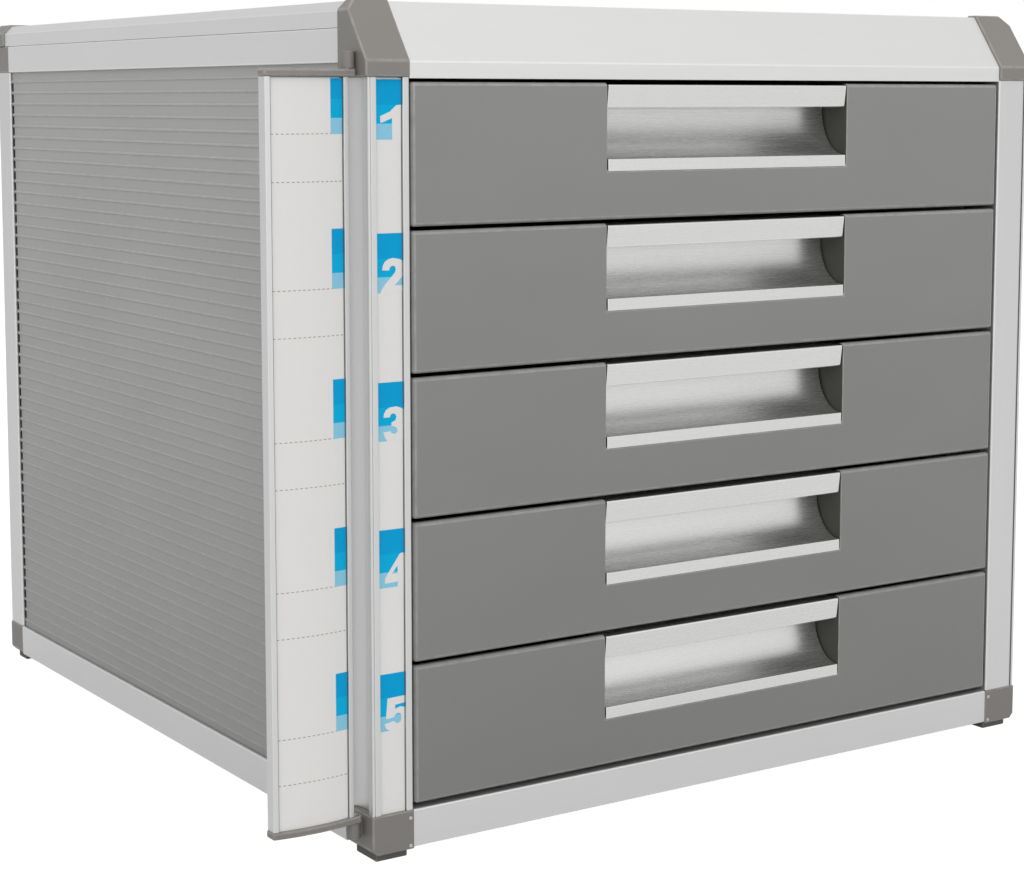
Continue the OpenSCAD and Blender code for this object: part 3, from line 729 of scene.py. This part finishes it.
def front_line(node):
    """The depth of a node's front face at any width, read from its mesh."""
    low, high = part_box(node)
    middle = (low.z + high.z) / 2
    points = {}
    for vertex in frame["nodes"][node].data.vertices:
        if vertex.co.z > middle:
            key = round(vertex.co.x, 6)
            points[key] = min(points.get(key, 1.0), vertex.co.y)
    places = sorted(points)

    def depth(x):
        for left, right in zip(places, places[1:]):
            if left <= x <= right:
                share = (x - left) / (right - left)
                return points[left] * (1 - share) + points[right] * share
        return points[places[0]] if x < places[0] else points[places[-1]]
    return depth


def ink_plate(name, outline, depth, layer, material, body, columns=1):
    """A thin plate over an outline in (x, z), laid on a face whose depth depends on x.

    Layer 1 lies on the face, layer 2 on layer 1, and so on. More columns follow a bow."""
    work = bmesh.new()
    work.faces.new([work.verts.new((x, 0, z)) for x, z in outline])
    left = min(x for x, z in outline)
    right = max(x for x, z in outline)
    for step in range(1, columns):
        at = left + (right - left) * step / columns
        everything = list(work.verts) + list(work.edges) + list(work.faces)
        bmesh.ops.bisect_plane(work, geom=everything, plane_co=(at, 0, 0), plane_no=(1, 0, 0))
    bmesh.ops.recalc_face_normals(work, faces=work.faces)
    if work.faces[:][0].normal.y > 0:
        bmesh.ops.reverse_faces(work, faces=work.faces)
    back = bmesh.ops.extrude_face_region(work, geom=list(work.faces))
    moved = {item for item in back["geom"] if isinstance(item, bmesh.types.BMVert)}
    for vertex in work.verts:
        proud = layer * INK if vertex in moved else (layer - 1) * INK
        vertex.co.y = depth(vertex.co.x) - proud
    bmesh.ops.recalc_face_normals(work, faces=work.faces)
    made = filled(name, work, material)
    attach(made, body)


def box_outline(left, right, low, high):
    """The four corners of an upright box, in (x, z)."""
    return [(left, low), (right, low), (right, high), (left, high)]


# %% [markdown]
# The numerals are drawn as outlines on a unit square: 0 to 1 across the block, 0 to 1 up from
# its lower edge to where the darkest blue starts. Each one runs off the block's right side,
# under the bead that holds the strip.

# %% Outlines of the numerals
NUMERALS = {
    1: [
        (1.0, 0.0), (1.0, 1.01), (0.80, 0.99), (0.54, 0.80), (0.18, 0.68), (0.18, 0.49),
        (0.25, 0.49), (0.63, 0.62), (0.63, 0.0),
    ],
    2: [
        (0.14, 0.0), (1.0, 0.0), (1.0, 0.20), (0.69, 0.21), (0.92, 0.40), (1.0, 0.52),
        (1.0, 0.90), (0.83, 0.98), (0.63, 1.01), (0.46, 0.98), (0.32, 0.91), (0.24, 0.80),
        (0.21, 0.66), (0.48, 0.65), (0.50, 0.72), (0.55, 0.77), (0.64, 0.79), (0.72, 0.75),
        (0.74, 0.67), (0.71, 0.59), (0.58, 0.47), (0.32, 0.25), (0.19, 0.10),
    ],
    3: [
        (0.37, 0.0), (1.0, 0.0), (1.0, 0.87), (0.92, 0.95), (0.72, 1.01), (0.47, 0.99),
        (0.32, 0.92), (0.24, 0.81), (0.23, 0.70), (0.47, 0.70), (0.50, 0.78), (0.59, 0.81),
        (0.69, 0.78), (0.73, 0.70), (0.69, 0.60), (0.53, 0.54), (0.53, 0.44), (0.63, 0.42),
        (0.75, 0.37), (0.77, 0.26), (0.67, 0.20), (0.54, 0.22), (0.49, 0.29), (0.21, 0.27),
        (0.28, 0.10),
    ],
    4: [
        (0.74, 0.0), (1.0, 0.0), (1.0, 1.01), (0.84, 0.99), (0.24, 0.29), (0.24, 0.13),
        (0.74, 0.15), (0.74, 0.40), (0.51, 0.40), (0.73, 0.63), (0.745, 0.40), (0.745, 0.15),
    ],
    5: [
        (0.38, 0.0), (1.0, 0.0), (1.0, 0.64), (0.80, 0.69), (0.61, 0.64), (0.60, 0.76),
        (1.0, 0.80), (1.0, 1.01), (0.31, 0.99), (0.24, 0.37), (0.56, 0.39), (0.60, 0.46),
        (0.70, 0.50), (0.82, 0.48), (0.86, 0.36), (0.83, 0.24), (0.72, 0.19), (0.61, 0.21),
        (0.57, 0.28), (0.18, 0.22), (0.25, 0.07),
    ],
}
print("outlined", len(NUMERALS), "numerals")

# %% [markdown]
# The strip shows its blocks from bead to bead. On the card they are narrow bars along the
# right lip, and stand a little higher.

# %% Blocks on the strip, bars on the card
BLOCK_LOW = [240.6, 190.9, 142.1, 93.2, 44.7]  # lower edges above the desk, drawer 1 first
PALE_H, MID_H, DEEP_H = 5.15, 6.05, 8.2  # heights of the three blues
numeral_h = (PALE_H + MID_H) * MM


def three_blues(prefix, left, right, low, ceiling, depth, body, columns=1):
    """Three blues above each other, the darkest on top and cut off at the ceiling."""
    z1, z2 = low + PALE_H * MM, low + numeral_h
    z3 = min(z2 + DEEP_H * MM, ceiling)
    for shade, bottom, top in (("pale", low, z1), ("mid", z1, z2), ("deep", z2, z3)):
        outline = box_outline(left, right, bottom, top)
        ink_plate(f"{prefix}_{shade}", outline, depth, 1, papers[shade], body, columns)


strip_low, strip_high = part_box("number_strip")
strip_front = front_line("number_strip")
BLOCK_IN, BLOCK_OUT, NUMERAL_OUT = 1.05, 0.1, 0.85  # from the strip's left and right edges
block_left = strip_low.x + BLOCK_IN * MM
block_right = strip_high.x - BLOCK_OUT * MM
numeral_w = strip_high.x - NUMERAL_OUT * MM - block_left
for number, low in zip(DRAWERS, BLOCK_LOW):
    z0 = low * MM
    ceiling = strip_high.z - 0.2 * MM
    three_blues(f"strip_{number}", block_left, block_right, z0, ceiling, strip_front, "cabinet")
    outline = [
        (min(block_left + u * numeral_w, block_right) if u < 1 else block_right, z0 + v * numeral_h)
        for u, v in NUMERALS[number]
    ]
    ink_plate(f"strip_{number}_numeral", outline, strip_front, 2, papers["card"], "cabinet")

card_low, card_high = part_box("index_card")
card_front = front_line("index_card")
CARD_RISE = 1.9  # how much higher the bars stand than the blocks
BAR_IN, BAR_OUT = 5.6, 0.2  # a bar's left and right end, from the card's right edge
bar_left = card_high.x - BAR_IN * MM
bar_right = card_high.x - BAR_OUT * MM
for number, low in zip(DRAWERS, BLOCK_LOW):
    z0 = (low + CARD_RISE) * MM
    ceiling = card_high.z - 0.1 * MM
    three_blues(f"card_{number}", bar_left, bar_right, z0, ceiling, card_front, "index", 4)
print("printed", len(BLOCK_LOW), "blocks on the strip and", len(BLOCK_LOW), "bars on the card")

# %% [markdown]
# The strip and the card end in narrow slots under the lips that hold them. From outside each
# slot is a dark hairline of shade, so each edge gets a thin plate of painted shadow. The narrow
# groove in the right post gets one too.

# %% Hairlines at the slots
UNDER = 0.85  # how far the strip and the card go in under the lips at either side
GROOVE_IN = 2.15  # from the post's outer edge to the far side of its groove
post_low, post_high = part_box("post_front_right")
NARROW = 0.25


def post_front(x):
    """The depth of the right post's front face, the same at any width."""
    return post_low.y


HAIRS = [
    ("strip_hair_left", "number_strip", strip_front, strip_low.x + UNDER * MM, 0.3, "cabinet"),
    (
        "strip_hair_right", "number_strip", strip_front,
        strip_high.x - (UNDER + NARROW) * MM, NARROW, "cabinet",
    ),
    ("card_hair_left", "index_card", card_front, card_low.x + UNDER * MM, 0.45, "index"),
    (
        "card_hair_right", "index_card", card_front,
        card_high.x - (UNDER + NARROW) * MM, NARROW, "index",
    ),
    (
        "post_hair", "post_front_right", post_front,
        post_high.x - GROOVE_IN * MM, 0.6, "cabinet",
    ),
]
for name, node, depth, left, width, body in HAIRS:
    low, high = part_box(node)
    outline = box_outline(left, left + width * MM, low.z, high.z)
    ink_plate(name, outline, depth, 3, papers["gap"], body)
print("drew", len(HAIRS), "hairlines")

# %% [markdown]
# The dashed rules are many small plates, so they are joined into one piece for each rule.

# %% Dashed rules
DASH, DASH_PITCH, RULE_H = 0.95, 1.75, 0.28
RULE_GAP = 15.1  # from a bar's foot down to the second rule
RULE_IN = 1.1  # from the card's left edge to where the rules start


def dashed_rule(name, left, right, middle):
    """A row of dashes across the card at a height, as one piece."""
    work = bmesh.new()
    at = left
    while at < right:
        end = min(at + DASH * MM, right)
        outline = box_outline(at, end, middle - RULE_H * MM / 2, middle + RULE_H * MM / 2)
        at += DASH_PITCH * MM
        front = [work.verts.new((x, card_front(x) - INK, z)) for x, z in outline]
        back = [work.verts.new((x, card_front(x), z)) for x, z in outline]
        work.faces.new(front)
        work.faces.new(back[::-1])
        for i in range(4):
            j = (i + 1) % 4
            work.faces.new((front[i], back[i], back[j], front[j]))
    bmesh.ops.recalc_face_normals(work, faces=work.faces)
    made = filled(name, work, papers["rule"])
    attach(made, "index")


rule_left = card_low.x + RULE_IN * MM
for number, low in zip(DRAWERS, BLOCK_LOW):
    z0 = (low + CARD_RISE) * MM
    dashed_rule(f"rule_{number}_upper", rule_left, bar_left, z0 + RULE_H * MM / 2)
    dashed_rule(f"rule_{number}_lower", rule_left, bar_right, z0 - RULE_GAP * MM)
print("ruled the card with", 2 * len(BLOCK_LOW), "dashed lines")

# %% [markdown]
# ## Floor, light and camera
# The floor is pale and plain. It is lit like the rest, and light of its own, which only the
# camera and mirrors see, lifts it to white while some of the shadow under the cabinet stays.

# %% Floor
FLOOR = 12.0
floor_mesh = bpy.data.meshes.new("floor")
floor_mesh.from_pydata(
    [(-FLOOR, -FLOOR, 0), (FLOOR, -FLOOR, 0), (FLOOR, FLOOR, 0), (-FLOOR, FLOOR, 0)], [],
    [(0, 1, 2, 3)],
)
floor = thing_of("floor", floor_mesh)
pale = bpy.data.materials.new("pale-floor")
pale.use_nodes = True
graph = Graph(pale.node_tree)
speckle = graph.noise(40, 2.0)
speckled = graph.mixed(speckle, tint(203, 203, 203), tint(207, 207, 207))
lit = graph.node("BsdfPrincipled", {}, {"Base Color": speckled, "Roughness": 0.9})
white = graph.node("Emission", {}, {"Color": (1, 1, 1, 1), "Strength": 1.25})
seen = graph.node("LightPath", {}, {}, out=0)
mirrored = graph.node("LightPath", {}, {}, out=3)
share = seen * 0.8 + mirrored * 0.3
surface = graph.node("MixShader", {}, {0: share, 1: lit, 2: white})
graph.node("OutputMaterial", {}, {"Surface": surface})
floor_mesh.materials.append(pale)
print("the floor is", 2 * FLOOR, "metres wide")

# %% [markdown]
# The world is a pale room, brighter in front and above, which gives the metal its gradients.
# The camera sees it as plain white. One large soft lamp adds a direction; it is kept out of
# mirrors, where it would burn out.

# %% World and lamp
world = bpy.data.worlds.new("studio")
bpy.context.scene.world = world
world.use_nodes = True
graph = Graph(world.node_tree)
camera_ray = graph.node("LightPath", {}, {}, out=0)
glass_ray = graph.node("LightPath", {}, {}, out=6)
direct = graph.node("Math", {"operation": "MAXIMUM"}, {0: camera_ray, 1: glass_ray})
direction = graph.node("TexCoord", {}, {}, out=0)


def glow(towards, power):
    """A soft glow in the sky, brightest in one direction, 0 to 1."""
    aim = tuple(Vector(towards).normalized())
    facing = graph.node("VectorMath", {"operation": "DOT_PRODUCT"}, {0: direction, 1: aim}, out=1)
    lit = graph.node("Math", {"operation": "MAXIMUM"}, {0: facing, 1: 0.0})
    return graph.node("Math", {"operation": "POWER"}, {0: lit, 1: power})


ROOM, FRONT, ABOVE = 0.72, 0.65, 0.35
lit_room = ROOM + glow((-0.35, -1, 0.05), 2.0) * FRONT + glow((-0.3, -0.4, 1), 2.0) * ABOVE
strength = lit_room + direct * (1 - lit_room)
sky = graph.node("Background", {}, {"Color": (1, 1, 1, 1), "Strength": strength})
graph.node("OutputWorld", {}, {"Surface": sky})


LAMP_AT, LAMP_TO = Vector((-1.2, -2.2, 2.6)), Vector((0, 0, 0.15))
lamp_data = bpy.data.lights.new("key", "AREA")
lamp_data.shape = "RECTANGLE"
lamp_data.size = lamp_data.size_y = 2.2
lamp_data.energy = 20
lamp = thing_of("key", lamp_data)
lamp.location = LAMP_AT
lamp.rotation_euler = (LAMP_TO - LAMP_AT).to_track_quat("-Z", "Y").to_euler()
lamp.visible_glossy = False
print("one lamp, and the room from", ROOM, "to", ROOM + FRONT)

# %% [markdown]
# The camera stands left of the cabinet, a little below its top, and looks at its front left
# post with a long lens. The picture is cut below the lens's axis, which a small shift does.

# %% Camera
CAMERA_AT = Vector((-0.4812, -0.78075, 0.2534))
YAW, PITCH, ROLL = 33.4265, 6.1088, -0.0311
LENS, SENSOR, SHIFT = 76.66, 36.0, -0.1

yaw, pitch, roll = (math.radians(angle) for angle in (YAW, PITCH, ROLL))
ahead = Vector((
    math.sin(yaw) * math.cos(pitch), math.cos(yaw) * math.cos(pitch), -math.sin(pitch),
))
across = Vector((math.cos(yaw), -math.sin(yaw), 0))
above = across.cross(ahead)
right = across * math.cos(roll) + above * math.sin(roll)
up = above * math.cos(roll) - across * math.sin(roll)
camera_data = bpy.data.cameras.new("camera")
camera_data.lens = LENS
camera_data.sensor_width = SENSOR
camera_data.sensor_fit = "HORIZONTAL"
camera_data.shift_y = SHIFT
camera_data.clip_start = 0.05
camera = thing_of("camera", camera_data)
turned = Matrix((right, up, -ahead)).transposed().to_4x4()
camera.matrix_world = Matrix.Translation(CAMERA_AT) @ turned
bpy.context.scene.camera = camera
bpy.context.scene.view_settings.view_transform = "Standard"
print("the camera has a lens of", LENS, "mm at", tuple(round(v, 3) for v in CAMERA_AT))
